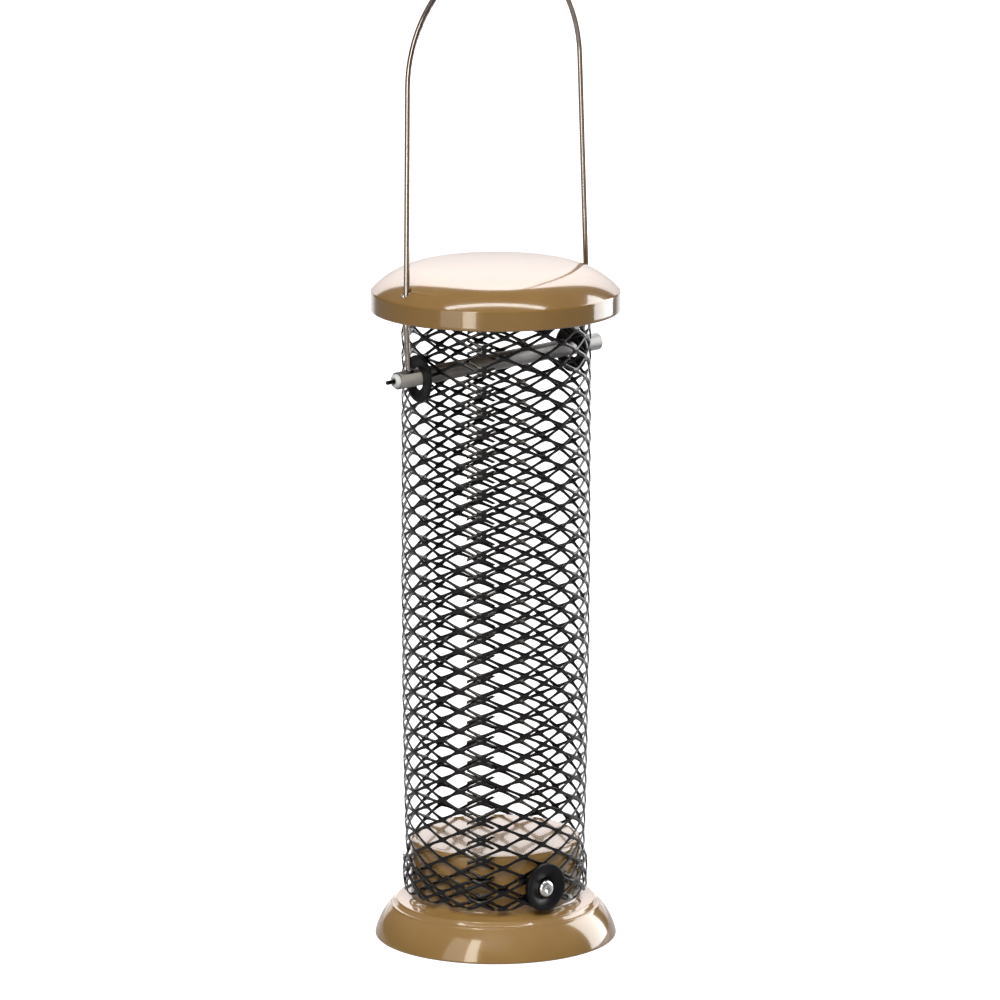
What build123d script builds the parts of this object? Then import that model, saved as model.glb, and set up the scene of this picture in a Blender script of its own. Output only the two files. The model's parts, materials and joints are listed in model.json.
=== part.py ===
"""Hanging bird feeder: expanded-metal seed tube between a pressed base and a
pressed lid, hung from a wire bail whose feet lock into a crossbar."""
from build123d import *
import math
import os

os.makedirs("parts", exist_ok=True)

# ------------------------------------------------------------------ dimensions
# Frame: origin at the centre of the base's bottom ring, +Z up, +X along the
# crossbar towards its longer end, Y across it. Millimetres.

# base
BASE_R = 42.5            # bottom ring radius
BASE_T = 0.9             # sheet thickness
HEM_W = 1.9              # width of the turned-in bottom hem
SKIRT_TOP_R = 36.9       # where the skirt meets the shoulder
SKIRT_TOP_Z = 10.9
STEP_R = 34.9            # second ring of the shoulder
STEP_Z = 12.7
SHOULDER_R = 32.6
SHOULDER_Z = 13.9
PLUG_R = 30.6            # upstand that fills the end of the mesh
PLUG_TOP_Z = 35.3
PLUG_FILLET = 1.8

# mesh tube
MESH_Z0 = 16.6
MESH_Z1 = 233.6
MESH_R0 = 32.2           # outer radius at the bottom
MESH_R1 = 33.0           # outer radius at the top
MESH_T = 0.5             # solid wall with the same metal as the open mesh

# crossbar and its tilt (the left end sits one half row of mesh lower)
BAR_Z = 205.1
BAR_TILT = 2.0           # degrees, +X end up
BAR_OR = 3.0
BAR_IR = 2.5
BAR_LEFT = -43.9         # along the bar from the tube's axis
BAR_RIGHT = 46.2
BAR_PORT_R = 1.9         # holes in the top wall for the bail's feet
MESH_BAR_HOLE_R = 3.6

# bail: corners of the wire's path in X-Z, rounded; the right leg splays further than the left
WIRE_R = 1.0
FOOT_LEFT = -38.6        # where the legs enter the crossbar
FOOT_RIGHT = 38.9
BEND_LEFT = (-39.6, 222.0)
BEND_RIGHT = (41.3, 230.0)
SHOULDER_LEFT = (-38.45, 325.2)
SHOULDER_RIGHT = (37.2, 329.1)
CROWN = (1.7, 358.9)
BAIL_RADII = [2.0, 25.0, 45.0, 31.0, 45.0, 30.0, 2.0]
FOOT_END = 44.4          # full wire ends here, inside the bush
TIP_R = 0.7
TIP_LEFT = 48.55         # the left tip stands out of its bush
TIP_RIGHT = 45.9         # the right one ends inside the tube

# bushes on the wire feet
BUSH_A = 41.8
BUSH_B = 45.3
BUSH_R = 2.45
BUSH_BORE_R = 1.04

# lid
LID_R = 43.4
LID_T = 0.9
LID_RIM_Z = 223.5        # bottom of the rim
LID_EDGE_Z = 230.6       # rim wall ends, rounded edge starts
LID_DOME_R = 41.4        # dome meets the rounded edge
LID_DOME_Z = 232.3
LID_CAP_R = 300.0        # nearly flat middle of the dome
LID_CAP_X = 25.0
LID_SHOULDER_R = 28.0    # rounder shoulder outside it
LID_HOLE_LEFT = -39.55
LID_HOLE_RIGHT = 40.57
LID_HOLE_R = 1.78

# washers on the crossbar
BW_R = 8.25
BW_BORE_R = 4.0
BW_T = 1.2
BW_DROP = 0.7            # the washers hang on the bar
BW_LEFT_X = -34.3        # middle plane
BW_RIGHT_X = 34.3
BW_LEAN = 8.0            # the left one leans flat to the mesh

# base screws and washers
SCREW_X = 5.4            # the screws stand off the middle plane, one each way
SCREW_Z = 23.85
SCREW_R = 1.5
SCREW_IN_Y = 23.0        # tip of the screw
HEAD_R = 3.05
HEAD_H = 2.2
SW_R = 8.4
SW_T = 1.6
SW_RECESS_R = 4.1
SW_RECESS_D = 0.8
SW_BORE_R = 2.2
SW_OFF = (0.55, 0.3)      # the washers sit a little off their screws
SW_Y = 32.45             # back face of the washer, against the mesh


def bar_z(x):
    """Height of the crossbar's axis at x."""
    return BAR_Z + x * math.tan(math.radians(BAR_TILT))


BAR_DIR = (math.cos(math.radians(BAR_TILT)), 0, math.sin(math.radians(BAR_TILT)))


def bar_plane(d):
    """Plane across the crossbar at distance d along it, normal towards +X."""
    return Plane(
        origin=(d * BAR_DIR[0], 0, BAR_Z + d * BAR_DIR[2]),
        x_dir=(0, 1, 0),
        z_dir=BAR_DIR,
    )


# ------------------------------------------------------------------------ base
with BuildPart() as base:
    # outside of the pressing: skirt, two-ring shoulder, upstand
    with BuildSketch(Plane.XZ) as base_out:
        with BuildLine() as bl:
            Polyline((0, 0), (BASE_R - 0.4, 0), (BASE_R, 0.4))
            ThreePointArc(
                (BASE_R, 0.4), (40.35, 6.1), (SKIRT_TOP_R, SKIRT_TOP_Z)
            )
            Line((SKIRT_TOP_R, SKIRT_TOP_Z), (SKIRT_TOP_R - 0.35, SKIRT_TOP_Z + 0.45))
            ThreePointArc(
                (SKIRT_TOP_R - 0.35, SKIRT_TOP_Z + 0.45),
                (35.8, 12.05),
                (STEP_R, STEP_Z),
            )
            Line((STEP_R, STEP_Z), (STEP_R - 0.3, STEP_Z + 0.4))
            Polyline(
                (STEP_R - 0.3, STEP_Z + 0.4),
                (SHOULDER_R, SHOULDER_Z),
                (PLUG_R + 0.8, SHOULDER_Z + 0.5),
                (PLUG_R, SHOULDER_Z + 1.5),
                (PLUG_R, PLUG_TOP_Z - PLUG_FILLET),
            )
            RadiusArc(
                (PLUG_R, PLUG_TOP_Z - PLUG_FILLET),
                (PLUG_R - PLUG_FILLET, PLUG_TOP_Z),
                -PLUG_FILLET,
            )
            Line((PLUG_R - PLUG_FILLET, PLUG_TOP_Z), (0, PLUG_TOP_Z))
            Line((0, PLUG_TOP_Z), (0, 0))
        make_face()
    revolve(axis=Axis.Z)
    # inside of the sheet
    with BuildSketch(Plane.XZ) as base_in:
        with BuildLine():
            Polyline(
                (0, -1),
                (BASE_R - HEM_W, -1),
                (BASE_R - HEM_W, BASE_T),
                (BASE_R - BASE_T - 0.05, BASE_T),
            )
            ThreePointArc(
                (BASE_R - BASE_T - 0.05, BASE_T),
                (39.5, 5.75),
                (SKIRT_TOP_R - 0.95, SKIRT_TOP_Z - 0.6),
            )
            Polyline(
                (SKIRT_TOP_R - 0.95, SKIRT_TOP_Z - 0.6),
                (STEP_R - 0.4, STEP_Z - 0.75),
                (SHOULDER_R - 0.2, SHOULDER_Z - 0.95),
                (PLUG_R - BASE_T, SHOULDER_Z + 0.3),
                (PLUG_R - BASE_T, PLUG_TOP_Z - PLUG_FILLET),
            )
            RadiusArc(
                (PLUG_R - BASE_T, PLUG_TOP_Z - PLUG_FILLET),
                (PLUG_R - PLUG_FILLET, PLUG_TOP_Z - BASE_T),
                -(PLUG_FILLET - BASE_T),
            )
            Line((PLUG_R - PLUG_FILLET, PLUG_TOP_Z - BASE_T), (0, PLUG_TOP_Z - BASE_T))
            Line((0, PLUG_TOP_Z - BASE_T), (0, -1))
        make_face()
    revolve(axis=Axis.Z, mode=Mode.SUBTRACT)
    # screw holes through the upstand
    for side in (1, -1):
        with BuildSketch(Plane.XZ):
            with Locations((-side * SCREW_X, SCREW_Z)):
                Circle(SCREW_R + 0.02)
        extrude(amount=side * 40, mode=Mode.SUBTRACT)
base.part.label = "base"
export_step(base.part, "parts/base.step")

# ------------------------------------------------------------------- mesh tube
with BuildPart() as mesh_tube:
    with BuildSketch(Plane.XZ):
        with BuildLine():
            Polyline(
                (MESH_R0 - MESH_T, MESH_Z0),
                (MESH_R0, MESH_Z0),
                (MESH_R1, MESH_Z1),
                (MESH_R1 - MESH_T, MESH_Z1),
                close=True,
            )
        make_face()
    revolve(axis=Axis.Z)
    # openings for the crossbar
    with BuildSketch(bar_plane(-40)):
        Circle(MESH_BAR_HOLE_R)
    extrude(amount=80, mode=Mode.SUBTRACT)
    # openings for the base screws
    for side in (1, -1):
        with BuildSketch(Plane.XZ):
            with Locations((-side * SCREW_X, SCREW_Z)):
                Circle(SCREW_R + 0.4)
        extrude(amount=side * 40, mode=Mode.SUBTRACT)
mesh_tube.part.label = "mesh_tube"
export_step(mesh_tube.part, "parts/mesh_tube.step")

# ------------------------------------------------------------------------- lid
LID_CAP_A = math.degrees(math.asin(LID_CAP_X / LID_CAP_R))
LID_SH_X = LID_CAP_X - LID_SHOULDER_R * math.sin(math.radians(LID_CAP_A))
LID_SH_A = math.degrees(math.asin((LID_DOME_R - LID_SH_X) / LID_SHOULDER_R))
LID_SH_Z = LID_DOME_Z - LID_SHOULDER_R * math.cos(math.radians(LID_SH_A))
LID_CAP_Z = LID_SH_Z + (LID_SHOULDER_R - LID_CAP_R) * math.cos(math.radians(LID_CAP_A))
LID_TOP_Z = LID_CAP_Z + LID_CAP_R
LID_IN_X = LID_SH_X + (LID_SHOULDER_R - LID_T) * math.sin(math.radians(LID_SH_A))
LID_IN_Z = LID_SH_Z + (LID_SHOULDER_R - LID_T) * math.cos(math.radians(LID_SH_A))

with BuildPart() as lid:
    with BuildSketch(Plane.XZ):
        with BuildLine():
            Polyline((0, LID_RIM_Z), (LID_R - 0.3, LID_RIM_Z), (LID_R, LID_RIM_Z + 0.3), (LID_R, LID_EDGE_Z))
            ThreePointArc(
                (LID_R, LID_EDGE_Z), (LID_R - 0.62, LID_EDGE_Z + 1.12), (LID_DOME_R, LID_DOME_Z)
            )
            CenterArc((LID_SH_X, LID_SH_Z), LID_SHOULDER_R, 90 - LID_SH_A, LID_SH_A - LID_CAP_A)
            CenterArc((0, LID_CAP_Z), LID_CAP_R, 90 - LID_CAP_A, LID_CAP_A)
            Line((0, LID_TOP_Z), (0, LID_RIM_Z))
        make_face()
    revolve(axis=Axis.Z)
    with BuildSketch(Plane.XZ):
        with BuildLine():
            Polyline(
                (0, LID_RIM_Z - 1),
                (LID_R - LID_T, LID_RIM_Z - 1),
                (LID_R - LID_T, LID_EDGE_Z - 0.1),
            )
            ThreePointArc(
                (LID_R - LID_T, LID_EDGE_Z - 0.1),
                (LID_R - LID_T - 0.35, LID_EDGE_Z + 0.5),
                (LID_IN_X, LID_IN_Z),
            )
            CenterArc((LID_SH_X, LID_SH_Z), LID_SHOULDER_R - LID_T, 90 - LID_SH_A, LID_SH_A - LID_CAP_A)
            CenterArc((0, LID_CAP_Z), LID_CAP_R - LID_T, 90 - LID_CAP_A, LID_CAP_A)
            Line((0, LID_TOP_Z - LID_T), (0, LID_RIM_Z - 1))
        make_face()
    revolve(axis=Axis.Z, mode=Mode.SUBTRACT)
    # holes for the bail's legs
    with BuildSketch(Plane.XY.offset(LID_RIM_Z)):
        with Locations((LID_HOLE_LEFT, 0), (LID_HOLE_RIGHT, 0)):
            Circle(LID_HOLE_R)
    extrude(amount=30, mode=Mode.SUBTRACT)
lid.part.label = "lid"
export_step(lid.part, "parts/lid.step")

# ----------------------------------------------------------------- bail handle
with BuildPart() as bail_handle:
    with BuildLine(Plane.XZ) as bail_path:
        FilletPolyline(
            (-FOOT_END, bar_z(-FOOT_END)),
            (FOOT_LEFT, bar_z(FOOT_LEFT)),
            BEND_LEFT,
            SHOULDER_LEFT,
            CROWN,
            SHOULDER_RIGHT,
            BEND_RIGHT,
            (FOOT_RIGHT, bar_z(FOOT_RIGHT)),
            (FOOT_END, bar_z(FOOT_END)),
            radius=BAIL_RADII,
        )
    with BuildSketch(bar_plane(-FOOT_END / BAR_DIR[0])):
        Circle(WIRE_R)
    sweep(path=bail_path.wire())
    # drawn-down tips that stand out of the bushes
    with BuildSketch(bar_plane(FOOT_END / BAR_DIR[0])):
        Circle(TIP_R)
    extrude(amount=TIP_RIGHT - FOOT_END)
    with BuildSketch(bar_plane(-FOOT_END / BAR_DIR[0])):
        Circle(TIP_R)
    extrude(amount=-(TIP_LEFT - FOOT_END))
bail_handle.part.label = "bail_handle"
export_step(bail_handle.part, "parts/bail_handle.step")

# -------------------------------------------------------------- crossbar tube
with BuildPart() as crossbar_tube:
    with BuildSketch(bar_plane(BAR_LEFT)):
        Circle(BAR_OR)
        Circle(BAR_IR, mode=Mode.SUBTRACT)
    extrude(amount=BAR_RIGHT - BAR_LEFT)
    # ports in the top wall for the bail's feet
    with BuildSketch(Plane.XY.offset(BAR_Z)):
        with Locations((FOOT_LEFT, 0), (FOOT_RIGHT, 0)):
            Circle(BAR_PORT_R)
    extrude(amount=8, mode=Mode.SUBTRACT)
crossbar_tube.part.label = "crossbar_tube"
export_step(crossbar_tube.part, "parts/crossbar_tube.step")

# ------------------------------------------------------------------ wire bushes
with BuildPart() as wire_bush_left:
    with BuildSketch(bar_plane(-BUSH_B)):
        Circle(BUSH_R)
        Circle(BUSH_BORE_R, mode=Mode.SUBTRACT)
    extrude(amount=BUSH_B - BUSH_A)
    fillet(wire_bush_left.edges().filter_by(GeomType.CIRCLE).group_by(SortBy.RADIUS)[-1], 1.1)
wire_bush_left.part.label = "wire_bush_left"
export_step(wire_bush_left.part, "parts/wire_bush_left.step")

with BuildPart() as wire_bush_right:
    with BuildSketch(bar_plane(BUSH_A)):
        Circle(BUSH_R)
        Circle(BUSH_BORE_R, mode=Mode.SUBTRACT)
    extrude(amount=BUSH_B - BUSH_A)
    fillet(wire_bush_right.edges().filter_by(GeomType.CIRCLE).group_by(SortBy.RADIUS)[-1], 1.1)
wire_bush_right.part.label = "wire_bush_right"
export_step(wire_bush_right.part, "parts/wire_bush_right.step")

# ---------------------------------------------------------- crossbar washers
LEAN = math.radians(BW_LEAN)
BW_LEFT_PLANE = Plane(
    origin=(BW_LEFT_X, 0, bar_z(BW_LEFT_X) - BW_DROP),
    x_dir=(math.sin(LEAN), math.cos(LEAN), 0),
    z_dir=(-math.cos(LEAN), math.sin(LEAN), 0),
)
BW_RIGHT_PLANE = Plane(
    origin=(BW_RIGHT_X, 0, bar_z(BW_RIGHT_X) - BW_DROP),
    x_dir=(0, 1, 0),
    z_dir=(1, 0, 0),
)

with BuildPart() as bar_washer_left:
    with BuildSketch(BW_LEFT_PLANE):
        Circle(BW_R)
        Circle(BW_BORE_R, mode=Mode.SUBTRACT)
    extrude(amount=BW_T / 2, both=True)
    fillet(bar_washer_left.edges().filter_by(GeomType.CIRCLE).group_by(SortBy.RADIUS)[-1], 0.3)
bar_washer_left.part.label = "bar_washer_left"
export_step(bar_washer_left.part, "parts/bar_washer_left.step")

with BuildPart() as bar_washer_right:
    with BuildSketch(BW_RIGHT_PLANE):
        Circle(BW_R)
        Circle(BW_BORE_R, mode=Mode.SUBTRACT)
    extrude(amount=BW_T / 2, both=True)
    fillet(bar_washer_right.edges().filter_by(GeomType.CIRCLE).group_by(SortBy.RADIUS)[-1], 0.3)
bar_washer_right.part.label = "bar_washer_right"
export_step(bar_washer_right.part, "parts/bar_washer_right.step")

# -------------------------------------------------- base washers and screws
FRONT = Plane(origin=(-SCREW_X, -SW_Y, SCREW_Z), x_dir=(1, 0, 0), z_dir=(0, -1, 0))
REAR = Plane(origin=(SCREW_X, SW_Y, SCREW_Z), x_dir=(-1, 0, 0), z_dir=(0, 1, 0))

with BuildPart() as base_washer_front:
    with BuildSketch(FRONT):
        with Locations(SW_OFF):
            Circle(SW_R)
            Circle(SW_BORE_R, mode=Mode.SUBTRACT)
    extrude(amount=SW_T)
    with BuildSketch(FRONT.offset(SW_T)):
        with Locations(SW_OFF):
            Circle(SW_RECESS_R)
    extrude(amount=-SW_RECESS_D, mode=Mode.SUBTRACT)
    fillet(base_washer_front.edges().filter_by(GeomType.CIRCLE).group_by(SortBy.RADIUS)[-1].sort_by(Axis.Y)[0], 0.4)
base_washer_front.part.label = "base_washer_front"
export_step(base_washer_front.part, "parts/base_washer_front.step")

with BuildPart() as base_washer_rear:
    with BuildSketch(REAR):
        with Locations(SW_OFF):
            Circle(SW_R)
            Circle(SW_BORE_R, mode=Mode.SUBTRACT)
    extrude(amount=SW_T)
    with BuildSketch(REAR.offset(SW_T)):
        with Locations(SW_OFF):
            Circle(SW_RECESS_R)
    extrude(amount=-SW_RECESS_D, mode=Mode.SUBTRACT)
    fillet(base_washer_rear.edges().filter_by(GeomType.CIRCLE).group_by(SortBy.RADIUS)[-1].sort_by(Axis.Y)[-1], 0.4)
base_washer_rear.part.label = "base_washer_rear"
export_step(base_washer_rear.part, "parts/base_washer_rear.step")

HEAD_Z = SW_T - SW_RECESS_D          # underside of the head above the washer's back
SHANK_L = SW_Y - SCREW_IN_Y          # shank below the washer's back face

with BuildPart() as base_screw_front:
    with BuildSketch(FRONT.offset(HEAD_Z)):
        Circle(HEAD_R)
    extrude(amount=HEAD_H)
    fillet(base_screw_front.faces().sort_by(Axis.Y)[0].edges(), 1.5)
    with BuildSketch(FRONT.offset(HEAD_Z + HEAD_H)):
        Rectangle(2.9, 0.7)
        Rectangle(0.7, 2.9)
    extrude(amount=-1.2, taper=12, mode=Mode.SUBTRACT)
    with BuildSketch(FRONT.offset(HEAD_Z)):
        Circle(SCREW_R)
    extrude(amount=-(HEAD_Z + SHANK_L))
    chamfer(base_screw_front.faces().sort_by(Axis.Y)[-1].edges(), 1.0)
base_screw_front.part.label = "base_screw_front"
export_step(base_screw_front.part, "parts/base_screw_front.step")

with BuildPart() as base_screw_rear:
    with BuildSketch(REAR.offset(HEAD_Z)):
        Circle(HEAD_R)
    extrude(amount=HEAD_H)
    fillet(base_screw_rear.faces().sort_by(Axis.Y)[-1].edges(), 1.5)
    with BuildSketch(REAR.offset(HEAD_Z + HEAD_H)):
        Rectangle(2.9, 0.7)
        Rectangle(0.7, 2.9)
    extrude(amount=-1.2, taper=12, mode=Mode.SUBTRACT)
    with BuildSketch(REAR.offset(HEAD_Z)):
        Circle(SCREW_R)
    extrude(amount=-(HEAD_Z + SHANK_L))
    chamfer(base_screw_rear.faces().sort_by(Axis.Y)[0].edges(), 1.0)
base_screw_rear.part.label = "base_screw_rear"
export_step(base_screw_rear.part, "parts/base_screw_rear.step")

bail_box = bail_handle.part.bounding_box()
print("bail top", bail_box.max.Z, "valid", all(p.part.is_valid for p in (bail_handle, lid, crossbar_tube)))
print("lid top", LID_TOP_Z, "left washer z", bar_z(BW_LEFT_X) - BW_DROP, "right", bar_z(BW_RIGHT_X) - BW_DROP)
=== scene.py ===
"""Looks for the hanging bird feeder: expanded-metal seed tube, enamelled base and
lid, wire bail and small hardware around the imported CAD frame."""
import json
import math
import bmesh
import bpy
import numpy as np
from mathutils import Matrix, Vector, noise


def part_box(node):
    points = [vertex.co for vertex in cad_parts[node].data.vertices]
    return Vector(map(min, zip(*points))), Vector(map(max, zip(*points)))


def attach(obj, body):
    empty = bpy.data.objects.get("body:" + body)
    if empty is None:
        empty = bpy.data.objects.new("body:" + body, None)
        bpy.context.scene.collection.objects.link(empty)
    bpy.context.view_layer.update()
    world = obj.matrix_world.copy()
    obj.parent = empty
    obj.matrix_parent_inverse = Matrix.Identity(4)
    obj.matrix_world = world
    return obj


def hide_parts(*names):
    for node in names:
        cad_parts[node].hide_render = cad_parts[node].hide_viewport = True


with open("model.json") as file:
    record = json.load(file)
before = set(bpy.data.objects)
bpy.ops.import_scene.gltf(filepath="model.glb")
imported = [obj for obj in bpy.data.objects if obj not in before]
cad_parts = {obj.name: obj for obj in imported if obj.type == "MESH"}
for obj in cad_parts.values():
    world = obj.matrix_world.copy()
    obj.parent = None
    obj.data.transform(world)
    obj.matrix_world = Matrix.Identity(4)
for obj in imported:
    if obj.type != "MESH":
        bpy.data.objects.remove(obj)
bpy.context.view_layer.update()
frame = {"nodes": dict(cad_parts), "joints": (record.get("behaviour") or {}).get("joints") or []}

MM = 0.001
nodes = frame["nodes"]
scene = bpy.context.scene
rng = np.random.default_rng(7)


# --------------------------------------------------------------- mesh helpers
def new_piece(name, verts, faces, smooth=True, angle=None):
    me = bpy.data.meshes.new(name)
    me.from_pydata([tuple(v) for v in verts], [], [tuple(f) for f in faces])
    me.update()
    if smooth:
        me.polygons.foreach_set("use_smooth", [True] * len(me.polygons))
        if angle is not None:
            me.set_sharp_from_angle(angle=math.radians(angle))
    ob = bpy.data.objects.new(name, me)
    scene.collection.objects.link(ob)
    return ob


def arc(cx, cz, r, a0, a1, n):
    """Points on an arc in the r-z plane, angles in degrees."""
    return [
        (cx + r * math.cos(math.radians(a0 + (a1 - a0) * i / n)),
         cz + r * math.sin(math.radians(a0 + (a1 - a0) * i / n)))
        for i in range(n + 1)
    ]


def lathe(name, prof, seg=160, axis_o=(0, 0, 0), ax=(0, 0, 1), ux=(1, 0, 0), angle=35):
    """Closed profile of (r, h) in mm turned about an axis. Points with r=0 become poles."""
    ax = Vector(ax).normalized()
    ux = Vector(ux).normalized()
    uy = ax.cross(ux)
    o = Vector(axis_o)
    verts, rings = [], []
    for r, h in prof:
        if r < 1e-6:
            verts.append((o + ax * h) * MM)
            rings.append([len(verts) - 1])
        else:
            ring = []
            for k in range(seg):
                t = 2 * math.pi * k / seg
                verts.append((o + ax * h + (ux * math.cos(t) + uy * math.sin(t)) * r) * MM)
                ring.append(len(verts) - 1)
            rings.append(ring)
    faces = []
    n = len(prof)
    for i in range(n):
        a, b = rings[i], rings[(i + 1) % n]
        if len(a) == 1 and len(b) == 1:
            continue
        for k in range(seg):
            k2 = (k + 1) % seg
            if len(a) == 1:
                faces.append((a[0], b[k2], b[k]))
            elif len(b) == 1:
                faces.append((a[k], a[k2], b[0]))
            else:
                faces.append((a[k], a[k2], b[k2], b[k]))
    ob = new_piece(name, verts, faces, True, angle)
    bm = bmesh.new()
    bm.from_mesh(ob.data)
    bmesh.ops.recalc_face_normals(bm, faces=bm.faces)
    bm.to_mesh(ob.data)
    bm.free()
    return ob


def cut(ob, cutters):
    """Subtracts cutter objects for good and removes them."""
    for c in cutters:
        m = ob.modifiers.new("cut", "BOOLEAN")
        m.operation = "DIFFERENCE"
        m.solver = "EXACT"
        m.object = c
        bpy.context.view_layer.update()
        dg = bpy.context.evaluated_depsgraph_get()
        me = bpy.data.meshes.new_from_object(ob.evaluated_get(dg))
        ob.modifiers.remove(m)
        old = ob.data
        ob.data = me
        bpy.data.meshes.remove(old)
        bpy.data.objects.remove(c)


def cylinder(name, p, d, r, length, seg=48):
    """A closed cylinder from p along d, in mm."""
    d = Vector(d).normalized()
    u = d.orthogonal().normalized()
    return lathe(name, [(0, 0), (r, 0), (r, length), (0, length)], seg, p, d, u, 30)


def three_arc(a, m, b, n):
    """n+1 points on the circle through three points, from a to b."""
    ax, az, mx, mz, bx, bz = *a, *m, *b
    d = 2 * (ax * (mz - bz) + mx * (bz - az) + bx * (az - mz))
    ux = ((ax**2 + az**2) * (mz - bz) + (mx**2 + mz**2) * (bz - az) + (bx**2 + bz**2) * (az - mz)) / d
    uz = ((ax**2 + az**2) * (bx - mx) + (mx**2 + mz**2) * (ax - bx) + (bx**2 + bz**2) * (mx - ax)) / d
    r = math.hypot(ax - ux, az - uz)
    t0, tm, t1 = (math.atan2(q[1] - uz, q[0] - ux) for q in (a, m, b))
    if not min(t0, t1) <= tm <= max(t0, t1):
        t1 += 2 * math.pi if t1 < t0 else -2 * math.pi
    return [(ux + r * math.cos(t0 + (t1 - t0) * i / n), uz + r * math.sin(t0 + (t1 - t0) * i / n)) for i in range(n + 1)]


# ------------------------------------------------------------------ materials
def material(name):
    m = bpy.data.materials.new(name)
    m.use_nodes = True
    nt = m.node_tree
    nt.nodes.clear()
    out = nt.nodes.new("ShaderNodeOutputMaterial")
    bs = nt.nodes.new("ShaderNodeBsdfPrincipled")
    nt.links.new(bs.outputs[0], out.inputs[0])
    return m, nt, bs


def node(nt, kind, **kw):
    n = nt.nodes.new(kind)
    for k, v in kw.items():
        setattr(n, k, v)
    return n


def coords(nt, scale=(1, 1, 1)):
    tc = node(nt, "ShaderNodeTexCoord")
    mp = node(nt, "ShaderNodeMapping")
    mp.inputs["Scale"].default_value = scale
    nt.links.new(tc.outputs["Object"], mp.inputs[0])
    return mp.outputs[0]


def noise_tex(nt, vec, scale, detail=3, rough=0.5, lac=2.0):
    n = node(nt, "ShaderNodeTexNoise")
    n.inputs["Scale"].default_value = scale
    n.inputs["Detail"].default_value = detail
    n.inputs["Roughness"].default_value = rough
    n.inputs["Lacunarity"].default_value = lac
    nt.links.new(vec, n.inputs["Vector"])
    return n.outputs[0]


def ramp(nt, fac, stops):
    r = node(nt, "ShaderNodeValToRGB")
    el = r.color_ramp.elements
    while len(el) > 1:
        el.remove(el[-1])
    el[0].position = stops[0][0]
    el[0].color = (*stops[0][1], 1)
    for p, c in stops[1:]:
        e = el.new(p)
        e.color = (*c, 1)
    nt.links.new(fac, r.inputs[0])
    return r.outputs[0]


def remap(nt, fac, a, b, lo=0.0, hi=1.0):
    r = node(nt, "ShaderNodeMapRange")
    r.inputs["From Min"].default_value = lo
    r.inputs["From Max"].default_value = hi
    r.inputs["To Min"].default_value = a
    r.inputs["To Max"].default_value = b
    nt.links.new(fac, r.inputs["Value"])
    return r.outputs[0]


def bump(nt, bs, height, strength, dist):
    b = node(nt, "ShaderNodeBump")
    b.inputs["Strength"].default_value = strength
    b.inputs["Distance"].default_value = dist
    nt.links.new(height, b.inputs["Height"])
    nt.links.new(b.outputs[0], bs.inputs["Normal"])
    return b


def mix_rgb(nt, fac, a, b):
    m = node(nt, "ShaderNodeMix", data_type="RGBA")
    nt.links.new(fac, m.inputs[0])
    for sock, val in ((m.inputs[6], a), (m.inputs[7], b)):
        if isinstance(val, tuple):
            sock.default_value = (*val, 1)
        else:
            nt.links.new(val, sock)
    return m.outputs[2]


def paint_material():
    """Glossy olive-gold stoved enamel with orange peel and a few specks, and painted light low down on the skirt."""
    m, nt, bs = material("olive_gold_enamel")
    v = coords(nt)
    broad = noise_tex(nt, v, 38, 3, 0.5)
    base = ramp(nt, broad, [(0.3, (0.205, 0.112, 0.027)), (0.5, (0.225, 0.124, 0.031)), (0.72, (0.245, 0.138, 0.037))])
    # painted light: the coat's colour is a shade lighter low down, standing in for more light falling on the shaded
    # skirt
    zc = node(nt, "ShaderNodeTexCoord")
    zs = node(nt, "ShaderNodeSeparateXYZ")
    nt.links.new(zc.outputs["Object"], zs.inputs[0])
    painted_light_low = remap(nt, zs.outputs[2], 1.0, 0.0, 0.016, 0.06)
    base = mix_rgb(nt, painted_light_low, base, ramp(nt, broad, [(0.3, (0.30, 0.172, 0.053)), (0.5, (0.326, 0.19, 0.06)), (0.72, (0.352, 0.206, 0.067))]))
    speck = noise_tex(nt, v, 2100, 1, 0.4)
    sm = ramp(nt, speck, [(0.80, (0, 0, 0)), (0.83, (1, 1, 1))])
    col = mix_rgb(nt, sm, base, (0.08, 0.045, 0.015))
    nt.links.new(col, bs.inputs["Base Color"])
    fine = noise_tex(nt, v, 420, 2, 0.5)
    nt.links.new(remap(nt, noise_tex(nt, v, 120, 3, 0.55), 0.10, 0.20), bs.inputs["Roughness"])
    bs.inputs["IOR"].default_value = 1.52
    bs.inputs["Coat Weight"].default_value = 0.6
    bs.inputs["Coat Roughness"].default_value = 0.04
    bs.inputs["Coat IOR"].default_value = 1.5
    bump(nt, bs, fine, 0.035, 0.0003)
    return m


def mesh_material():
    """Black dipped coating on the expanded metal: satin, scuffed here and there."""
    m, nt, bs = material("black_mesh_coating")
    v = coords(nt)
    tone = noise_tex(nt, v, 160, 4, 0.6)
    col = ramp(nt, tone, [(0.25, (0.0025, 0.0022, 0.0027)), (0.55, (0.004, 0.0035, 0.0042)), (0.8, (0.009, 0.008, 0.008))])
    nt.links.new(col, bs.inputs["Base Color"])
    nt.links.new(remap(nt, noise_tex(nt, v, 330, 3, 0.6), 0.09, 0.22, 0.25, 0.75), bs.inputs["Roughness"])
    bs.inputs["IOR"].default_value = 1.46
    bump(nt, bs, noise_tex(nt, v, 900, 3, 0.6), 0.22, 0.0002)
    return m


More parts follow.
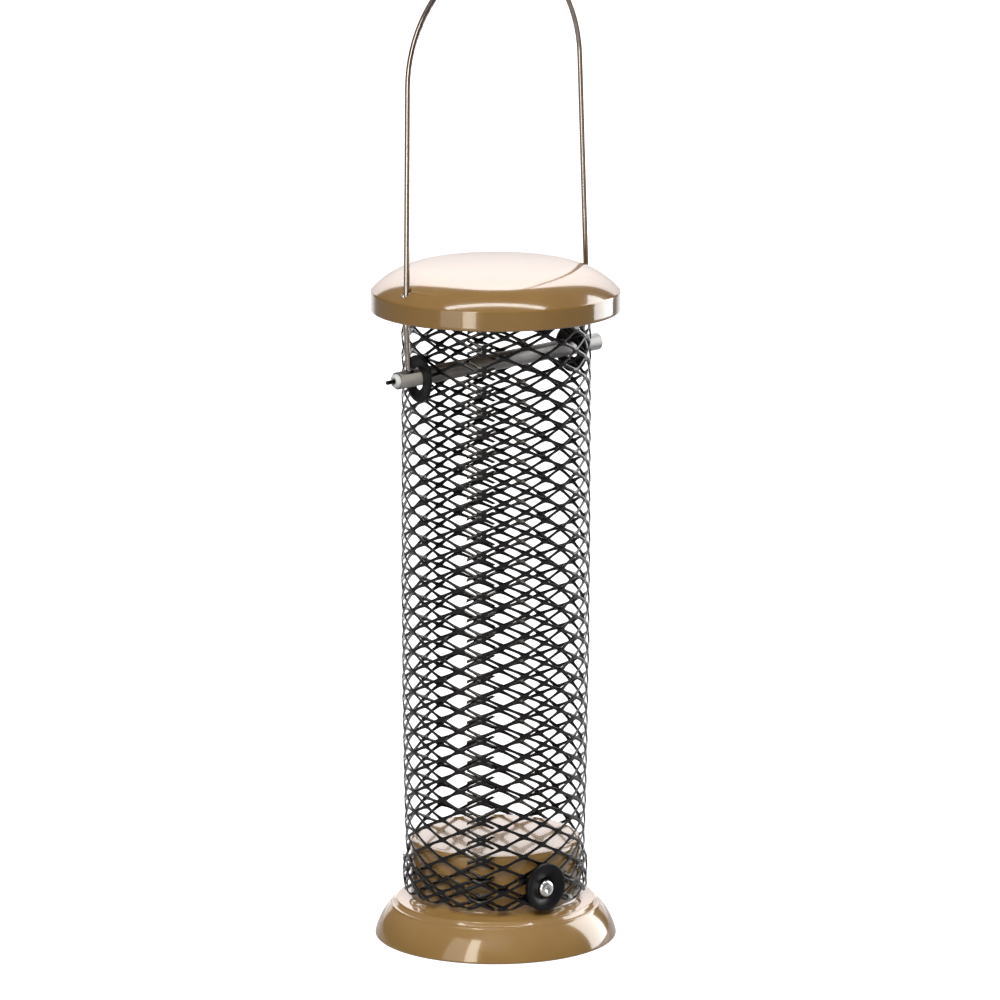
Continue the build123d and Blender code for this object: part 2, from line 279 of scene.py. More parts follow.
def wire_material():
    """Drawn steel wire: bright, fine die lines along the wire, slight warm tarnish; end tips painted near-black as
    shade.
    """
    m, nt, bs = material("drawn_steel_wire")
    v = coords(nt, (1, 1, 0.03))
    lines = noise_tex(nt, v, 1500, 3, 0.6)
    tarn = noise_tex(nt, coords(nt), 60, 3, 0.6)
    a = ramp(nt, lines, [(0.3, (0.32, 0.277, 0.254)), (0.7, (0.495, 0.44, 0.41))])
    b = mix_rgb(nt, remap(nt, tarn, 0.0, 0.55, 0.35, 0.8), a, (0.36, 0.30, 0.235))
    # painted shade and dark reflection: the drawn-down tips at the crossbar's ends are painted near-black
    sep = node(nt, "ShaderNodeSeparateXYZ")
    tc = node(nt, "ShaderNodeTexCoord")
    nt.links.new(tc.outputs["Object"], sep.inputs[0])
    ab = node(nt, "ShaderNodeMath", operation="ABSOLUTE")
    nt.links.new(sep.outputs[0], ab.inputs[0])
    painted_shade_tips = node(nt, "ShaderNodeMath", operation="GREATER_THAN")
    painted_shade_tips.inputs[1].default_value = 0.0446
    nt.links.new(ab.outputs[0], painted_shade_tips.inputs[0])
    c = mix_rgb(nt, painted_shade_tips.outputs[0], b, (0.02, 0.02, 0.02))
    nt.links.new(c, bs.inputs["Base Color"])
    bs.inputs["Metallic"].default_value = 1.0
    nt.links.new(remap(nt, lines, 0.10, 0.22, 0.3, 0.7), bs.inputs["Roughness"])
    bump(nt, bs, lines, 0.12, 0.0001)
    return m


def bar_material():
    """Satin drawn aluminium tube with lengthwise scratches."""
    m, nt, bs = material("satin_aluminium_tube")
    v = coords(nt, (0.03, 1, 1))
    lines = noise_tex(nt, v, 1200, 4, 0.65)
    blot = noise_tex(nt, coords(nt), 140, 3, 0.6)
    a = ramp(nt, lines, [(0.3, (0.30, 0.294, 0.29)), (0.7, (0.42, 0.412, 0.405))])
    b = mix_rgb(nt, remap(nt, blot, 0.0, 0.5, 0.35, 0.75), a, (0.20, 0.19, 0.20))
    nt.links.new(b, bs.inputs["Base Color"])
    bs.inputs["Metallic"].default_value = 1.0
    nt.links.new(remap(nt, lines, 0.48, 0.66, 0.3, 0.7), bs.inputs["Roughness"])
    bump(nt, bs, lines, 0.2, 0.00012)
    return m


def washer_material():
    """Moulded black plastic."""
    m, nt, bs = material("black_moulded_washer")
    v = coords(nt)
    col = ramp(nt, noise_tex(nt, v, 300, 3, 0.6), [(0.3, (0.004, 0.004, 0.005)), (0.75, (0.009, 0.009, 0.011))])
    nt.links.new(col, bs.inputs["Base Color"])
    nt.links.new(remap(nt, noise_tex(nt, v, 700, 3, 0.6), 0.32, 0.46, 0.3, 0.7), bs.inputs["Roughness"])
    bs.inputs["IOR"].default_value = 1.3
    bump(nt, bs, noise_tex(nt, v, 1500, 2, 0.5), 0.15, 0.00012)
    return m


def screw_material():
    """Bright zinc plate with faint clouding."""
    m, nt, bs = material("bright_zinc_screw")
    v = coords(nt)
    col = ramp(nt, noise_tex(nt, v, 900, 3, 0.6), [(0.3, (0.78, 0.79, 0.80)), (0.7, (0.93, 0.94, 0.95))])
    nt.links.new(col, bs.inputs["Base Color"])
    bs.inputs["Metallic"].default_value = 1.0
    nt.links.new(remap(nt, noise_tex(nt, v, 1600, 3, 0.6), 0.18, 0.34, 0.3, 0.7), bs.inputs["Roughness"])
    bump(nt, bs, noise_tex(nt, v, 2600, 2, 0.5), 0.12, 0.0001)
    return m


def bush_material():
    """Milky clear soft plastic."""
    m, nt, bs = material("milky_clear_bush")
    v = coords(nt)
    col = ramp(nt, noise_tex(nt, v, 500, 3, 0.6), [(0.3, (0.46, 0.47, 0.45)), (0.7, (0.62, 0.63, 0.60))])
    nt.links.new(col, bs.inputs["Base Color"])
    nt.links.new(remap(nt, noise_tex(nt, v, 900, 2, 0.5), 0.22, 0.38, 0.3, 0.7), bs.inputs["Roughness"])
    bs.inputs["IOR"].default_value = 1.45
    bump(nt, bs, noise_tex(nt, v, 900, 2, 0.5), 0.2, 0.0002)
    return m


PAINT = paint_material()
COATING = mesh_material()
WIRE = wire_material()
BAR = bar_material()
PLASTIC = washer_material()
ZINC = screw_material()
BUSH = bush_material()


def dress(ob, mat):
    ob.data.materials.clear()
    ob.data.materials.append(mat)


# ----------------------------------------------------------------- dimensions
# read back from the frame, in mm
b_lo, b_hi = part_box("base")
l_lo, l_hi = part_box("lid")
m_lo, m_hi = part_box("mesh_tube")
BASE_R = b_hi.x / MM
PLUG_TOP = b_hi.z / MM
LID_R = l_hi.x / MM
LID_RIM = l_lo.z / MM
LID_TOP = l_hi.z / MM
MESH_Z0 = m_lo.z / MM
MESH_Z1 = m_hi.z / MM
s_lo, s_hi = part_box("base_screw_front")
SCREW_X = (s_lo.x + s_hi.x) / 2 / MM
SCREW_Z = (s_lo.z + s_hi.z) / 2 / MM
bar_joint = next(j for j in frame["joints"] if j["name"] == "hanger_rock")
BAR_Z = bar_joint["pos_m"][2] / MM
BAR_AX = Vector(bar_joint["axis"]).normalized()
BAR_TAN = BAR_AX.z / BAR_AX.x

# -------------------------------------------------------------- expanded mesh
LW = 14.12               # one long way of the mesh, along the flat sheet
SW = 7.225               # one short way, up the tube
Z_REF = 158.29           # a hole centre on the front wall
# waves along the sheet, where they fall round the tube (degrees), degrees per wave there,
# how far the row has climbed (mm) and its climb per wave
ROLL = [(0.0, -124.67, 26.33, 0.0, -0.187), (7.0, 61.51, 26.92, 1.166, 0.069), (12.5, 208.30, 26.78, 1.40, 0.24)]
U0 = -0.825              # outer, lapping edge of the sheet
U1 = 13.27               # inner, lapped edge
HX, HZ = 5.64, 2.69      # half width and half height of a hole
TK = 0.44                # metal and coating
EDGE = 0.1
TILT = -0.14             # strands lean: upper edge out, lower edge in
FOLD_R = 0.62            # folded bottom hem
HEM = 10.3
KSEG = [1.0, 0.86, 0.65, 0.42, 0.2, 0.0]


def roll(u, a, da):
    """Smooth curve through the roll table: column a with slopes in column da."""
    u = np.asarray(u, float)
    out = np.where(u < ROLL[0][0], ROLL[0][a] + (u - ROLL[0][0]) * ROLL[0][da], ROLL[-1][a] + (u - ROLL[-1][0]) * ROLL[-1][da])
    for p, q in zip(ROLL, ROLL[1:]):
        h = q[0] - p[0]
        t = (u - p[0]) / h
        v = (p[a] * (2 * t**3 - 3 * t**2 + 1) + h * p[da] * (t**3 - 2 * t**2 + t)
             + q[a] * (3 * t**2 - 2 * t**3) + h * q[da] * (t**3 - t**2))
        out = np.where((t >= 0) & (t <= 1), v, out)
    return out


def tube_r(z):
    """Radius of the middle of the wall at height z."""
    pts = [(0, 31.0), (MESH_Z0, 31.0), (28, 31.1), (40, 31.45), (60, 31.85), (90, 32.25), (125, 32.55), (190, 32.52), (235, 32.5)]
    return np.interp(z, [p[0] for p in pts], [p[1] for p in pts])


def hole_shape():
    """Samples (x, z) from the right corner round the hole."""
    up = [(x * HX, HZ * (1 - x**1.24) ** (1 / 1.24)) for x in KSEG]
    lo = [(x * HX, -HZ * (1 - x**1.09) ** (1 / 1.09)) for x in KSEG]
    pts = []
    pts += up[:-1]                                   # right corner to top
    pts += [(0.0, HZ)]
    pts += [(-x, z) for x, z in reversed(up[:-1])]   # top to left corner
    pts += [(-x, z) for x, z in lo[1:-1]]            # left corner to bottom
    pts += [(0.0, -HZ)]
    pts += [(x, z) for x, z in reversed(lo[1:-1])]   # bottom to right corner
    return pts


def expanded_mesh():
    shape = np.array(hole_shape())
    n = len(shape)
    K = len(KSEG) - 1
    nxt = np.roll(shape, -1, 0)
    prv = np.roll(shape, 1, 0)
    tang = nxt - prv
    norm = np.stack([tang[:, 1], -tang[:, 0]], 1)
    norm /= np.linalg.norm(norm, axis=1)[:, None]
    rings = [(EDGE, TK / 2), (0.0, TK / 2 - EDGE), (0.0, -TK / 2 + EDGE), (EDGE, -TK / 2)]
    zf = MESH_Z0 + FOLD_R + TK / 2
    i0, i1 = math.floor(U0 * 2) - 2, math.ceil(U1 * 2) + 2
    j1 = math.floor((MESH_Z1 - 1.5 - Z_REF) / SW * 2) - 1
    j0 = math.floor((zf - math.pi * FOLD_R - HEM - Z_REF) / SW * 2) - 2
    start = {}
    sheet = []
    for i in range(i0, i1 + 1):
        for j in range(j0, j1 + 1):
            if (i + j) % 2:
                continue
            start[(i, j)] = len(sheet)
            cx, cz = i / 2 * LW, j / 2 * SW
            for e, off in rings:
                p = shape + norm * e
                g = shape[:, 1] / HZ * TILT
                for q, gg in zip(p, g):
                    sheet.append((cx + q[0], cz + q[1], off + gg))
    # half a joint between neighbours of the top row, where the sheet was sheared
    crest = {}
    for (i, j) in start:
        if (i + 1, j + 1) not in start and (i + 2, j) in start and (i + 1, j - 1) in start:
            crest[(i, j)] = len(sheet)
            for e, off in rings:
                sheet.append(((i + 1) / 2 * LW, j / 2 * SW + 0.25 - e, off))
    sheet = np.array(sheet)
    faces = []
    R, T, L, B = 0, K, 2 * K, 3 * K

    def vid(h, ring, k):
        return start[h] + ring * n + (k % n)

    for (i, j) in start:
        h = (i, j)
        # the hole's wall runs only where a strand lies beyond it
        beyond = [(i + 1, j + 1), (i - 1, j + 1), (i - 1, j - 1), (i + 1, j - 1)]
        walled = [k for k in range(n) if beyond[k // K] in start]
        for ring in range(3):
            for k in walled:
                faces.append((vid(h, ring, k), vid(h, ring, k + 1), vid(h, ring + 1, k + 1), vid(h, ring + 1, k)))
        ne, se, e = (i + 1, j + 1), (i + 1, j - 1), (i + 2, j)
        for ring, flip in ((0, False), (3, True)):
            if ne in start:
                for k in range(K):
                    f = (vid(h, ring, R + k), vid(ne, ring, B - k), vid(ne, ring, B - k - 1), vid(h, ring, R + k + 1))
                    faces.append(f[::-1] if flip else f)
            if se in start:
                for k in range(K):
                    # from the bottom to the right corner; the lower neighbour runs from its left corner to its top
                    f = (vid(h, ring, B + k), vid(se, ring, L - k), vid(se, ring, L - k - 1), vid(h, ring, B + k + 1))
                    faces.append(f[::-1] if flip else f)
            if ne in start and se in start and e in start:
                f = (vid(h, ring, R), vid(se, ring, T), vid(e, ring, L), vid(ne, ring, B))
                faces.append(f[::-1] if flip else f)
            if h in crest:
                f = (vid(h, ring, R), vid(se, ring, T), vid(e, ring, L), crest[h] + ring)
                faces.append(f[::-1] if flip else f)
        if h in crest:
            for ring in range(3):
                c = crest[h] + ring
                faces.append((vid(h, ring, R), c, c + 1, vid(h, ring + 1, R)))
                faces.append((c, vid(e, ring, L), vid(e, ring + 1, L), c + 1))
    faces = np.array(faces)
    # keep the strip between the two cut edges and above the hem's end
    mid = sheet[faces].mean(1)
    u = mid[:, 0] / LW
    zz = Z_REF + mid[:, 1] + roll(u, 3, 4)
    keep = (u > U0) & (u < U1) & (zz > zf - math.pi * FOLD_R - HEM)
    # the crossbar and the base screws go through
    th = np.radians(roll(u, 1, 2))
    rr = 32.5
    x, y = rr * np.cos(th), rr * np.sin(th)
    side = np.abs(y) < 8
    db = np.hypot(y, zz - (BAR_Z + x * BAR_TAN))
    keep &= ~(side & (db < 3.7) & (np.abs(x) > 10))
    # and no corner of a wide joint reaches into the bar
    pu = sheet[:, 0] / LW
    pt = np.radians(roll(pu, 1, 2))
    pd = np.hypot(rr * np.sin(pt), Z_REF + sheet[:, 1] + roll(pu, 3, 4) - (BAR_Z + rr * np.cos(pt) * BAR_TAN))
    keep &= ~(side & (pd[faces].min(1) < 3.15) & (np.abs(x) > 10))
    sx = np.where(y < 0, SCREW_X, -SCREW_X)
    ds = np.hypot(x - sx, zz - SCREW_Z)
    keep &= ~((np.abs(y) > 10) & (ds < 2.0))
    hemz = 2 * zf - zz - math.pi * FOLD_R
    ds2 = np.hypot(x - sx, hemz - SCREW_Z)
    keep &= ~((np.abs(y) > 10) & (ds2 < 2.0))
    faces = faces[keep]
    # unevenness of a hand-rolled sheet
    us = sheet[:, 0] / LW
    zs = Z_REF + sheet[:, 1] + roll(us, 3, 4)
    off = sheet[:, 2].copy()
    ths = roll(us, 1, 2)
    used = np.zeros(len(sheet), bool)
    used[faces.ravel()] = True
    dr = np.zeros(len(sheet))
    dz = np.zeros(len(sheet))
    dt = np.zeros(len(sheet))
    for a in np.nonzero(used)[0]:
        p = Vector((us[a] * 1.1, zs[a] * 0.075, 3.7))
        dr[a] = 0.10 * noise.noise(p) + 0.08 * noise.noise(p * 2.7)
        dz[a] = 0.14 * noise.noise(p * 1.3 + Vector((9, 4, 1)))
        dt[a] = 0.18 * noise.noise(p * 1.1 + Vector((2, 8, 5)))
    # lap: the outer edge rides over the inner one
    lap = np.interp(us, [U0, U0 + 0.69, U0 + 2.0], [1.42, 1.42, 0.0])
    zs = zs + dz - 0.046 * ((zs - 120) / 60) ** 2
    a = np.clip((zf - zs) / FOLD_R, 0, None)
    rm = tube_r(np.maximum(zs, zf)) + lap
    r = rm + off
    z = zs.copy()
    arc_m = (a > 0) & (a <= math.pi)
    o2 = np.clip(off, -2, FOLD_R * 0.8)
    cr = rm + FOLD_R
    r = np.where(arc_m, cr - np.cos(a) * (FOLD_R - o2), r)
    z = np.where(arc_m, zf - np.sin(a) * (FOLD_R - o2), z)
    hem = a > math.pi
    zh = zf + (zf - zs - math.pi * FOLD_R)
    r = np.where(hem, tube_r(zh) + lap + 2 * FOLD_R - off, r)
    z = np.where(hem, zh, z)
    t = np.radians(ths + dt)
    # the tube is a touch oval and leans a little
    r = r + dr - 0.155 * np.cos(2 * (t + math.radians(129.5))) * np.clip((z - 30) / 20, 0, 1)
    lean = np.clip(0.25 * (z - 120) / 100, -0.2, 0.25)
    co = np.stack([r * np.cos(t) + lean * math.cos(math.radians(-39.5)), r * np.sin(t) + lean * math.sin(math.radians(-39.5)), z], 1) * MM
    index = -np.ones(len(sheet), int)
    index[used] = np.arange(used.sum())
    ob = new_piece("mesh_strands", co[used], index[faces], True)
    bm = bmesh.new()
    bm.from_mesh(ob.data)
    edges = [e for e in bm.edges if e.is_boundary]
    bmesh.ops.holes_fill(bm, edges=edges, sides=12)
    edges = [e for e in bm.edges if e.is_boundary]
    if edges:
        grown = bmesh.ops.holes_fill(bm, edges=edges, sides=60)["faces"]
        far = [f for f in grown if f.calc_perimeter() > 0.016]
        print("long cut ends closed", len(grown), "left open", len(far))
        bmesh.ops.delete(bm, geom=far, context="FACES_ONLY")
        bmesh.ops.triangulate(bm, faces=[f for f in grown if f.is_valid])
    loose = [v for v in bm.verts if not v.link_faces]
    bmesh.ops.delete(bm, geom=loose, context="VERTS")
    # drop crumbs left by the cuts
    seen, small = set(), []
    for v in bm.verts:
        if v in seen:
            continue
        stack, grp = [v], []
        seen.add(v)
        while stack:
            w = stack.pop()
            grp.append(w)
            for ed in w.link_edges:
                o = ed.other_vert(w)
                if o not in seen:
                    seen.add(o)
                    stack.append(o)
        if len(grp) < 200:
            small += grp
    if small:
        bmesh.ops.delete(bm, geom=small, context="VERTS")
    bmesh.ops.recalc_face_normals(bm, faces=bm.faces)
    bm.to_mesh(ob.data)
    open_edges = sum(1 for e in bm.edges if e.is_boundary)
    print("mesh faces", len(bm.faces), "tris", sum(len(f.verts) - 2 for f in bm.faces), "open edges", open_edges, "crumbs", len(small))
    bm.free()
    ob.data.polygons.foreach_set("use_smooth", [True] * len(ob.data.polygons))
    ob.data.set_sharp_from_angle(angle=math.radians(62))
    return ob


strands = expanded_mesh()
dress(strands, COATING)
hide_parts("mesh_tube")
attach(strands, "feeder_body")

# ------------------------------------------------------------------------ lid
T = 0.9
CAP, CAP_X = 300.0, 25.0          # nearly flat middle of the dome
SHO = 28.0                        # rounder shoulder outside it
CAP_A = math.degrees(math.asin(CAP_X / CAP))
CAP_Z = LID_TOP - CAP
SH_X = CAP_X - SHO * math.sin(math.radians(CAP_A))
SH_Z = CAP_Z + (CAP - SHO) * math.cos(math.radians(CAP_A))
LIP_X = 43.05                     # the shoulder runs on to a small rounded lip
SH_A = math.degrees(math.asin((LIP_X - SH_X) / SHO))
LIP_R = (LID_R - LIP_X) / (1 - math.sin(math.radians(SH_A)))
LIP_Z = SH_Z + SHO * math.cos(math.radians(SH_A)) - LIP_R * math.cos(math.radians(SH_A))


def lid_profile():
    p = []
    # rounded bottom edge, up the rim, over the rounded edge to the dome
    p += arc(LID_R - T / 2, LID_RIM + T / 2, T / 2, 180, 360, 8)
    p += [(LID_R, z) for z in np.linspace(LID_RIM + 1.2, LIP_Z - 0.3, 7)]
    p += arc(LID_R - LIP_R, LIP_Z, LIP_R, 0, 90 - SH_A, 10)
    p += arc(SH_X, SH_Z, SHO, 90 - SH_A, 90 - CAP_A, 48)[1:]
    for i in range(1, 31):
        a = math.radians(CAP_A * (1 - i / 30))
        p.append((CAP * math.sin(a) if i < 30 else 0.0, CAP_Z + CAP * math.cos(a)))
    # inside
    for i in range(0, 13):
        a = math.radians(CAP_A * i / 12)
        p.append(((CAP - T) * math.sin(a) if i else 0.0, CAP_Z + (CAP - T) * math.cos(a)))
    p += arc(SH_X, SH_Z, SHO - T, 90 - CAP_A, 92 - SH_A, 20)[1:]
    p += [(LID_R - T, z) for z in np.linspace(LIP_Z - 0.5, LID_RIM + 1.0, 5)]
    return p


lid = lathe("lid_pressing", lid_profile(), 288, angle=40)
for name, x in (("left", -39.55), ("right", 40.57)):
    cut(lid, [cylinder("leg_hole_" + name, (x, 0, LID_RIM), (0, 0, 1), 1.78, 30, 40)])


def true_normals(ob):
    """Keeps the dome's reflections clean round the cut holes."""
    me = ob.data
    me.polygons.foreach_set("use_smooth", [True] * len(me.polygons))
    me.set_sharp_from_angle(angle=math.radians(38))
    normals = [Vector(c.vector) for c in me.corner_normals]
    for p in me.polygons:
        if p.normal.z < 0.6:
            continue
        for li in p.loop_indices:
            co = me.vertices[me.loops[li].vertex_index].co / MM
            r = math.hypot(co.x, co.y)
            if r > LIP_X + 0.01 or co.z < LIP_Z:
                continue
            if r <= CAP_X + 0.01:
                n = Vector((co.x, co.y, co.z - CAP_Z))
                err = abs(n.length - CAP)
            else:
                k = (r - SH_X) / r
                n = Vector((co.x * k, co.y * k, co.z - SH_Z))
                err = abs(n.length - SHO)
            n.normalize()
            if err < 0.03 and n.dot(p.normal) > 0.97:
                normals[li] = n
    me.normals_split_custom_set([tuple(n) for n in normals])


true_normals(lid)
dress(lid, PAINT)
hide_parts("lid")
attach(lid, "lid")


# ----------------------------------------------------------------------- base
def base_profile():
    plug = 30.0
    p = []
    p += arc(BASE_R - 0.4, 0.4, 0.4, -90, 0, 5)
    p += three_arc((BASE_R, 0.55), (40.35, 6.1), (36.95, 10.85), 26)[0:]
    # first ring of the shoulder
    p += arc(36.35, 10.95, 0.5, 25, 70, 4)
    p += three_arc((36.1, 11.6), (35.6, 12.05), (35.0, 12.6), 5)
    # second ring
    p += arc(34.45, 12.62, 0.5, 25, 75, 4)
    p += [(34.1, 13.25), (33.4, 13.5), (32.6, 13.8), (31.6, 14.15)]
    p += arc(plug + 1.1, 15.4, 1.1, 240, 180, 6)
    p += [(plug, z) for z in np.linspace(16.2, PLUG_TOP - 2.3, 8)]
    p += arc(plug - 1.8, PLUG_TOP - 1.8, 1.8, 4, 90, 10)
    # the top of the plug is a shallow dish
    for i in range(1, 25):
        r = (plug - 1.8) * (1 - i / 24)
        p.append((r if i < 24 else 0.0, PLUG_TOP - 0.35 * (1 - (r / (plug - 1.8)) ** 2) ** 1.0))
    # inside
    top = PLUG_TOP - 0.9
    for i in range(0, 9):
        r = (plug - 1.8) * i / 8
        p.append((r if i else 0.0, top - 0.35 * (1 - (r / (plug - 1.8)) ** 2)))
    p += arc(plug - 1.8, PLUG_TOP - 1.8, 0.9, 85, 0, 5)
    p += [(plug - 0.9, 25.0), (plug - 0.9, 14.3)]
    p += [(32.2, 12.95), (34.4, 11.95)]
    p += three_arc((35.95, 10.3), (39.5, 5.75), (41.5, 1.1), 12)
    p += [(BASE_R - 1.9, 0.9), (BASE_R - 1.9, 0.15), (BASE_R - 1.75, 0.0)]
    return p


base = lathe("base_pressing", base_profile(), 240, angle=34)
dress(base, PAINT)
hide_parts("base")
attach(base, "feeder_body")


# ----------------------------------------------------------------------- bail
def bar_z(x):
    return BAR_Z + x * BAR_TAN


def fillet_path(pts, radii):
    """Points along a polyline in x-z with arcs at its inner corners."""
    out = [Vector(pts[0])]
    for i in range(1, len(pts) - 1):
        a, b, c = Vector(pts[i - 1]), Vector(pts[i]), Vector(pts[i + 1])
        d1, d2 = (a - b).normalized(), (c - b).normalized()
        half = math.acos(max(-1, min(1, d1.dot(d2)))) / 2
        r = radii[i - 1]
        tl = r / math.tan(half)
        centre = b + (d1 + d2).normalized() * (r / math.sin(half))
        p0, p1 = b + d1 * tl, b + d2 * tl
        v0, v1 = p0 - centre, p1 - centre
        ang = v0.angle(v1)
        n = max(4, int(math.degrees(ang) / 4))
        for k in range(n + 1):
            t = k / n
            v = (v0 * math.sin((1 - t) * ang) + v1 * math.sin(t * ang)) / math.sin(ang)
            out.append(centre + v)
    out.append(Vector(pts[-1]))
    return out


def sweep_wire(name, pts, radius, seg=20, tips=None):
    """A round wire along points in the x-z plane, closed at both ends. radius per point."""
    clean = [pts[0]]
    rad = [radius[0]]
    for q, r in zip(pts[1:], radius[1:]):
        if (q - clean[-1]).length > 1e-4 or abs(r - rad[-1]) > 1e-6:
            clean.append(q)
            rad.append(r)
    pts = clean
    verts, faces = [], []
    n = len(pts)
    for i, q in enumerate(pts):
        a = pts[max(i - 1, 0)]
        b = pts[min(i + 1, n - 1)]
        if (q - a).length < 1e-3 and i > 1:
            a = pts[i - 2]
        if (b - q).length < 1e-3 and i < n - 2:
            b = pts[i + 2]
        d = (b - a).normalized()
        nx = Vector((d.y, -d.x))
        for k in range(seg):
            t = 2 * math.pi * k / seg
            verts.append(((q.x + nx.x * math.cos(t) * rad[i]) * MM, math.sin(t) * rad[i] * MM, (q.y + nx.y * math.cos(t) * rad[i]) * MM))
    for i in range(n - 1):
        for k in range(seg):
            k2 = (k + 1) % seg
            faces.append((i * seg + k, i * seg + k2, (i + 1) * seg + k2, (i + 1) * seg + k))
    faces.append(tuple(range(seg))[::-1])
    faces.append(tuple((n - 1) * seg + k for k in range(seg)))
    ob = new_piece(name, verts, faces, True, 40)
    bm = bmesh.new()
    bm.from_mesh(ob.data)
    bmesh.ops.recalc_face_normals(bm, faces=bm.faces)
    bm.to_mesh(ob.data)
    bm.free()
    return ob


# corners of the wire's path: the right leg splays further than the left
path = fillet_path(
    [(-44.4, bar_z(-44.4)), (-38.6, bar_z(-38.6)), (-39.6, 222.0), (-38.45, 325.2), (1.7, 358.9),
     (37.2, 329.1), (41.3, 230.0), (38.9, bar_z(38.9)), (44.4, bar_z(44.4))],
    [2.0, 25.0, 45.0, 31.0, 45.0, 30.0, 2.0],
)
d = Vector((BAR_AX.x, BAR_AX.z)).normalized()
c = Vector((0.0, BAR_Z))
rads = [0.45, 0.7, 0.7, 1.0] + [1.0] * (len(path) - 2) + [1.0, 0.7, 0.7, 0.45]
path = [c - d * 48.5, c - d * 48.25, c - d * 44.75, c - d * 44.45] + path[1:-1] + [c + d * 44.45, c + d * 44.75, c + d * 45.6, c + d * 45.85]
bail = sweep_wire("bail_wire", path, rads, 20)
dress(bail, WIRE)
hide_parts("bail_handle")
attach(bail, "hanger")

# ---------------------------------------------------- carried-over CAD nodes
for name, mat in {
    "crossbar_tube": BAR,
    "wire_bush_left": BUSH,
    "wire_bush_right": BUSH,
    "bar_washer_left": PLASTIC,
    "bar_washer_right": PLASTIC,
    "base_washer_front": PLASTIC,
    "base_washer_rear": PLASTIC,
    "base_screw_front": ZINC,
    "base_screw_rear": ZINC,
}.items():
    o = nodes[name]
    dress(o, mat)
    w = o.modifiers.new("weld", "WELD")
    w.merge_threshold = 1e-6
    o.data.polygons.foreach_set("use_smooth", [True] * len(o.data.polygons))
    o.data.set_sharp_from_angle(angle=math.radians(30))

# ------------------------------------------------------------- stage and light
me = bpy.data.meshes.new("floor")
S = 14.0
me.from_pydata([(-S, -S, 0), (S, -S, 0), (S, S, 0), (-S, S, 0)], [], [(0, 1, 2, 3)])
floor = bpy.data.objects.new("floor", me)
scene.collection.objects.link(floor)
fm, nt, bs = material("pale_floor")
bs.inputs["Base Color"].default_value = (0.3, 0.3, 0.3, 1)
bs.inputs["Roughness"].default_value = 0.55
bs.inputs["Specular IOR Level"].default_value = 0.3
bs.inputs["Emission Color"].default_value = (1, 1, 1, 1)
FLOOR_NT, FLOOR_BS = nt, bs
me.materials.append(fm)

AZ = -39.5
PITCH = 12.03
# light levels
FILL, STRIP, WIDE, SIDE, TOP = 9.8, 7.0, 1.7, 6.0, 10.0
ROOM, ROOM_UP, SWEEP_LOW, SWEEP_RISE = 0.09, 0.22, 0.75, 4.0
FLOOR_SEEN, FLOOR_BACK, FLOOR_FRONT = 0.95, 0.85, 0.03


def around(az, dist, z):
    """A point at an azimuth from the camera's own side, degrees to the right."""
    a = math.radians(AZ + az)
    return Vector((math.sin(a) * dist, -math.cos(a) * dist, z))


def softbox(name, kind, az, dist, z, w, h, radiance, aim=(0, 0, 0.13), colour=(1, 1, 1)):
    li = bpy.data.lights.new(name, "AREA")
    li.shape = "RECTANGLE"
    li.size = w
    li.size_y = h
    li.energy = radiance * math.pi * w * h
    li.color = colour
    ob = bpy.data.objects.new(name, li)
    scene.collection.objects.link(ob)
    ob.location = around(az, dist, z)
    ob.rotation_euler = (Vector(aim) - ob.location).to_track_quat("-Z", "Y").to_euler()
    ob.visible_camera = False
    ob.visible_diffuse = kind != "gloss"
    ob.visible_glossy = kind != "fill"
    return ob


softbox("fill_front", "fill", -6, 1.0, 1.1, 0.8, 0.8, FILL, aim=(0, 0, 0.12))
softbox("strip_left", "gloss", -23.5, 0.95, 0.55, 0.2, 1.06, STRIP, aim=(0, 0, 0.55), colour=(1.0, 0.94, 0.80))
softbox("wide_left", "gloss", -41, 1.0, 0.55, 0.34, 1.06, WIDE, aim=(0, 0, 0.55), colour=(1.0, 0.94, 0.84))
softbox("box_right", "gloss", 118, 1.0, 0.55, 0.6, 1.06, SIDE, aim=(0, 0, 0.55))
softbox("top", "gloss", 0, 0.1, 1.5, 1.3, 0.12, TOP, aim=around(180, 0.15, 0.2))

back = around(180, 1, 0).normalized()
# the floor is white to the lens; the object sees it bright behind and falling away in front
nt = FLOOR_NT
tc = nt.nodes.new("ShaderNodeTexCoord")
dot = nt.nodes.new("ShaderNodeVectorMath")
dot.operation = "DOT_PRODUCT"
dot.inputs[1].default_value = back
unit = nt.nodes.new("ShaderNodeVectorMath")
unit.operation = "NORMALIZE"
nt.links.new(tc.outputs["Object"], unit.inputs[0])
nt.links.new(unit.outputs[0], dot.inputs[0])
f_floor = remap(nt, dot.outputs["Value"], FLOOR_FRONT, FLOOR_BACK, 0.80, 0.90)
lp = nt.nodes.new("ShaderNodeLightPath")
pick = nt.nodes.new("ShaderNodeMix")
pick.data_type = "FLOAT"
nt.links.new(lp.outputs["Is Camera Ray"], pick.inputs[0])
nt.links.new(f_floor, pick.inputs[2])
pick.inputs[3].default_value = FLOOR_SEEN
nt.links.new(pick.outputs[0], FLOOR_BS.inputs["Emission Strength"])

world = bpy.data.worlds.new("studio")
scene.world = world
world.use_nodes = True
nt = world.node_tree
nt.nodes.clear()
out = nt.nodes.new("ShaderNodeOutputWorld")
bg_cam = nt.nodes.new("ShaderNodeBackground")
bg_cam.inputs[0].default_value = (1, 1, 1, 1)
bg_cam.inputs[1].default_value = 1.0
bg = nt.nodes.new("ShaderNodeBackground")
mixs = nt.nodes.new("ShaderNodeMixShader")
lp = nt.nodes.new("ShaderNodeLightPath")
tc = nt.nodes.new("ShaderNodeTexCoord")
# an arched bright sweep behind the object, brighter towards its top, and a dim room elsewhere


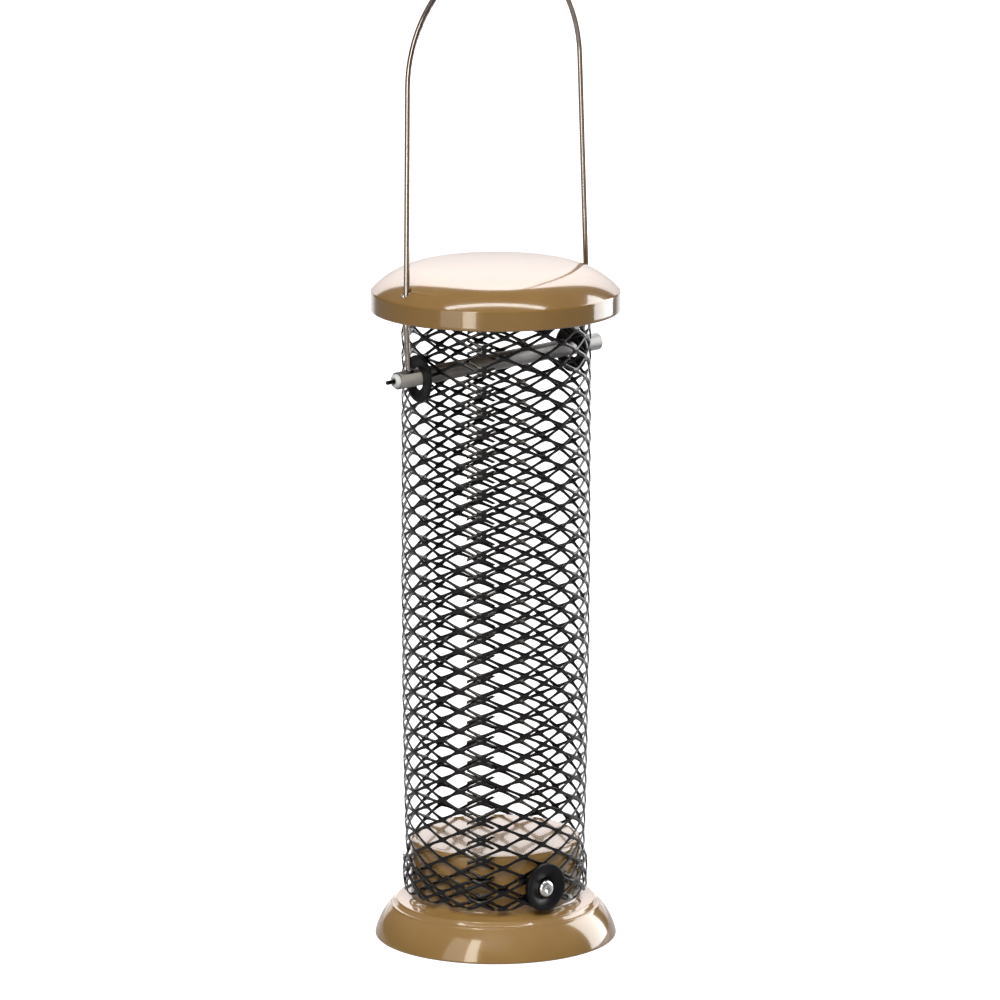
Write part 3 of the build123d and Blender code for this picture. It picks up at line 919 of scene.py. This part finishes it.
def calc(op, a, b=None):
    n = nt.nodes.new("ShaderNodeMath")
    n.operation = op
    for k, v in enumerate((a, b)):
        if v is None:
            continue
        if isinstance(v, (int, float)):
            n.inputs[k].default_value = v
        else:
            nt.links.new(v, n.inputs[k])
    return n.outputs[0]


def along(vec):
    n = nt.nodes.new("ShaderNodeVectorMath")
    n.operation = "DOT_PRODUCT"
    n.inputs[1].default_value = vec
    nt.links.new(tc.outputs["Generated"], n.inputs[0])
    return n.outputs["Value"]


b_raw = along(back)
b_pos = calc("MAXIMUM", b_raw, 0.02)
side = calc("DIVIDE", along(Vector((-back.y, back.x, 0))), b_pos)
rise = calc("DIVIDE", along(Vector((0, 0, 1))), b_pos)
q = calc("ADD", calc("POWER", calc("ABSOLUTE", calc("DIVIDE", side, 0.57)), 2.0), calc("POWER", calc("ABSOLUTE", calc("DIVIDE", rise, 2.02)), 2.0))
inside = remap(nt, q, 1.0, 0.0, 0.93, 1.05)
front = calc("GREATER_THAN", b_raw, 0.02)
level = calc("ADD", SWEEP_LOW, calc("MULTIPLY", calc("MINIMUM", calc("MAXIMUM", rise, 0.0), 2.2), SWEEP_RISE))
above = remap(nt, along(Vector((0, 0, 1))), 0.0, ROOM_UP, 0.2, 0.7)
lvl = calc("ADD", calc("ADD", ROOM, above), calc("MULTIPLY", calc("MULTIPLY", inside, front), level))
bg.inputs[0].default_value = (1.0, 0.955, 0.965, 1)
nt.links.new(lvl, bg.inputs[1])
nt.links.new(lp.outputs["Is Camera Ray"], mixs.inputs[0])
nt.links.new(bg.outputs[0], mixs.inputs[1])
nt.links.new(bg_cam.outputs[0], mixs.inputs[2])
nt.links.new(mixs.outputs[0], out.inputs[0])

scene.view_settings.view_transform = "Standard"

# --------------------------------------------------------------------- camera
cam_data = bpy.data.cameras.new("camera")
cam = bpy.data.objects.new("camera", cam_data)
scene.collection.objects.link(cam)
cam_data.sensor_width = 36
cam_data.lens = 6690 * 36 / 1000
cam_data.clip_end = 100
a = math.radians(AZ)
right_dir = Vector((math.cos(a), math.sin(a), 0))
cam.location = Vector((math.sin(a) * 2.281, -math.cos(a) * 2.281, 0.642)) + right_dir * 0.00153
cam.rotation_euler = (math.radians(90 - PITCH), 0, a)
scene.camera = cam
